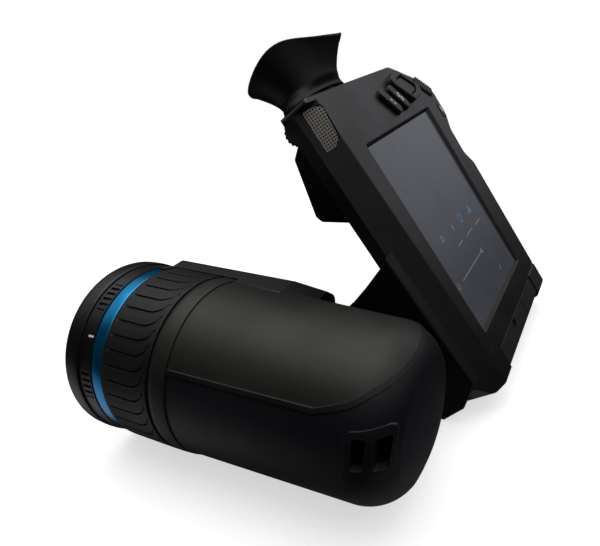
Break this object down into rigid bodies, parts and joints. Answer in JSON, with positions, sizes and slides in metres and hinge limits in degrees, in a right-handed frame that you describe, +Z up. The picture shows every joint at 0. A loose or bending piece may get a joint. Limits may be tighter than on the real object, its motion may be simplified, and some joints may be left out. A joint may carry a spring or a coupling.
{
  "type": "thermal imaging camera",
  "caption": "Handheld thermal imaging camera with a swivelling lens block, touch-screen display unit, eyepiece viewfinder and battery grip.",
  "frame": {"origin": "centre of the bounding box's underside, on the table that the camera rests on", "axes": "+Z up; lens looks along -Y; +X towards the lens block, away from the display's hand grip"},
  "size_m": [0.2026, 0.1538, 0.1503],
  "materials": {
    "soft_cover": "fine soft-touch texture",
    "block_shell": "fine spark-eroded grain",
    "trim": "smooth bead",
    "ring_black": "satin black",
    "ring_blue": "satin anodised blue",
    "focus_rubber": "moulded grip grooves",
    "lens_metal": "black anodised",
    "germanium": "dark coated infrared lens",
    "clear_glass": "polished",
    "strap_plastic": "fine grain",
    "sensor_metal": "machined",
    "board": "solder mask",
    "brass": "machined",
    "steel": "blackened",
    "display_shell": "satin charcoal coat",
    "rear_plastic": "fine grain",
    "seal_rubber": "smooth",
    "screen_glass": "dark cover glass",
    "lcd": "panel",
    "grille_metal": "perforated sheet",
    "speaker": "plain",
    "key_plastic": "satin keys",
    "socket_metal": "plated",
    "barrel_plastic": "plain",
    "eyecup_rubber": "soft matte",
    "battery_case": "plain"
  },
  "bodies": {
    "optical_block": {"upper_cover": "soft_cover", "lower_shell": "block_shell", "cover_seam_trim": "trim", "side_housing": "block_shell", "visible_camera_lens": "clear_glass", "lamp_lens": "clear_glass", "laser_window": "clear_glass", "lens_housing": "lens_metal", "front_ring": "ring_black", "front_element": "germanium", "element_retainer": "lens_metal", "rear_element": "germanium", "index_band": "ring_black", "blue_ring": "ring_blue", "bayonet_collar": "ring_black", "detector_core": "sensor_metal", "shutter_plate": "sensor_metal", "detector_board": "board", "strap_anchor": "strap_plastic", "pivot_flange": "lens_metal", "pivot_tube": "lens_metal", "pivot_nut": "lens_metal", "swivel_washer": "steel", "tripod_insert": "brass", "block_screws": "steel"},
    "display_unit": {"front_shell": "display_shell", "rear_shell": "rear_plastic", "shell_gasket": "seal_rubber", "screen_glass": "screen_glass", "screen_gasket": "seal_rubber", "lcd_panel": "lcd", "main_board": "board", "hub_housing": "rear_plastic", "hub_bush": "brass", "grip_housing": "rear_plastic", "speaker_grille": "grille_metal", "speaker_driver": "speaker", "viewfinder_housing": "rear_plastic", "eyepiece_barrel": "barrel_plastic", "eyepiece_lens": "clear_glass", "viewfinder_display": "lcd", "port_sockets": "socket_metal", "corner_bumper": "seal_rubber", "case_screws": "steel"},
    "focus_ring_body": {"focus_ring": "focus_rubber"},
    "navigation_ring_body": {"navigation_ring": "key_plastic"},
    "navigation_key_body": {"navigation_key": "key_plastic"},
    "key_upper_body": {"key_upper": "key_plastic"},
    "key_lower_body": {"key_lower": "key_plastic"},
    "power_key_body": {"power_key": "key_plastic"},
    "zoom_rocker_body": {"zoom_rocker": "key_plastic"},
    "trigger_body": {"trigger": "key_plastic"},
    "laser_key_body": {"laser_key": "key_plastic"},
    "dioptre_knob_body": {"dioptre_knob": "key_plastic"},
    "eyecup_body": {"eyecup": "eyecup_rubber"},
    "port_cover_long_body": {"port_cover_long": "seal_rubber"},
    "port_cover_short_body": {"port_cover_short": "seal_rubber"},
    "battery_body": {"battery": "battery_case"},
    "battery_latch_body": {"battery_latch": "key_plastic"}
  },
  "joints": [
    {"name": "display_swivel", "type": "hinge", "parent": "optical_block", "child": "display_unit", "pos_m": [0.019, 0.02909, 0.02932], "axis": [1, 0, 0], "range_deg": [-125, 54]},
    {"name": "focus_turn", "type": "hinge", "parent": "optical_block", "child": "focus_ring_body", "pos_m": [0.064, -0.04591, 0.03732], "axis": [0, 1, 0], "range_deg": [-60, 60]},
    {"name": "navigation_tilt", "type": "slide", "parent": "display_unit", "child": "navigation_ring_body", "axis": [0, -0.8136, -0.5815], "range_m": [0, 0.0008], "stiffness_N_per_m": 400, "springref_m": -0.002},
    {"name": "navigation_press", "type": "slide", "parent": "display_unit", "child": "navigation_key_body", "axis": [0, -0.8136, -0.5815], "range_m": [0, 0.0008], "stiffness_N_per_m": 400, "springref_m": -0.002},
    {"name": "key_upper_press", "type": "slide", "parent": "display_unit", "child": "key_upper_body", "axis": [0, -0.8136, -0.5815], "range_m": [0, 0.0008], "stiffness_N_per_m": 400, "springref_m": -0.002},
    {"name": "key_lower_press", "type": "slide", "parent": "display_unit", "child": "key_lower_body", "axis": [0, -0.8136, -0.5815], "range_m": [0, 0.0008], "stiffness_N_per_m": 400, "springref_m": -0.002},
    {"name": "power_press", "type": "slide", "parent": "display_unit", "child": "power_key_body", "axis": [0, -0.8136, -0.5815], "range_m": [0, 0.0008], "stiffness_N_per_m": 400, "springref_m": -0.002},
    {"name": "zoom_rock", "type": "hinge", "parent": "display_unit", "child": "zoom_rocker_body", "pos_m": [-0.0906, -0.00002, 0.11868], "axis": [0.6018, 0.4644, -0.6497], "range_deg": [-4, 4], "stiffness_Nm_per_rad": 0.2},
    {"name": "trigger_pull", "type": "slide", "parent": "display_unit", "child": "trigger_body", "axis": [0, 0.8136, 0.5815], "range_m": [0, 0.0022], "stiffness_N_per_m": 400, "springref_m": -0.002},
    {"name": "laser_press", "type": "slide", "parent": "display_unit", "child": "laser_key_body", "axis": [0, 0.8136, 0.5815], "range_m": [0, 0.001], "stiffness_N_per_m": 400, "springref_m": -0.002},
    {"name": "dioptre_turn", "type": "hinge", "parent": "display_unit", "child": "dioptre_knob_body", "pos_m": [0.011, -0.01431, 0.11891], "axis": [1, 0, 0], "range_deg": [-90, 90]},
    {"name": "eyecup_turn", "type": "hinge", "parent": "display_unit", "child": "eyecup_body", "pos_m": [-0.009, -0.01814, 0.12908], "axis": [0, -0.5815, 0.8136], "continuous": true},
    {"name": "cover_long_open", "type": "hinge", "parent": "display_unit", "child": "port_cover_long_body", "pos_m": [-0.033, 0.06618, 0.00817], "axis": [1, 0, 0], "range_deg": [-100, 0]},
    {"name": "cover_short_open", "type": "hinge", "parent": "display_unit", "child": "port_cover_short_body", "pos_m": [-0.07, 0.06618, 0.00817], "axis": [1, 0, 0], "range_deg": [-100, 0]},
    {"name": "battery_draw", "type": "slide", "parent": "display_unit", "child": "battery_body", "axis": [0, 0.5815, -0.8136], "range_m": [0, 0.08]},
    {"name": "latch_slide", "type": "slide", "parent": "display_unit", "child": "battery_latch_body", "axis": [0, 0.5815, -0.8136], "range_m": [0, 0.003]}
  ]
}
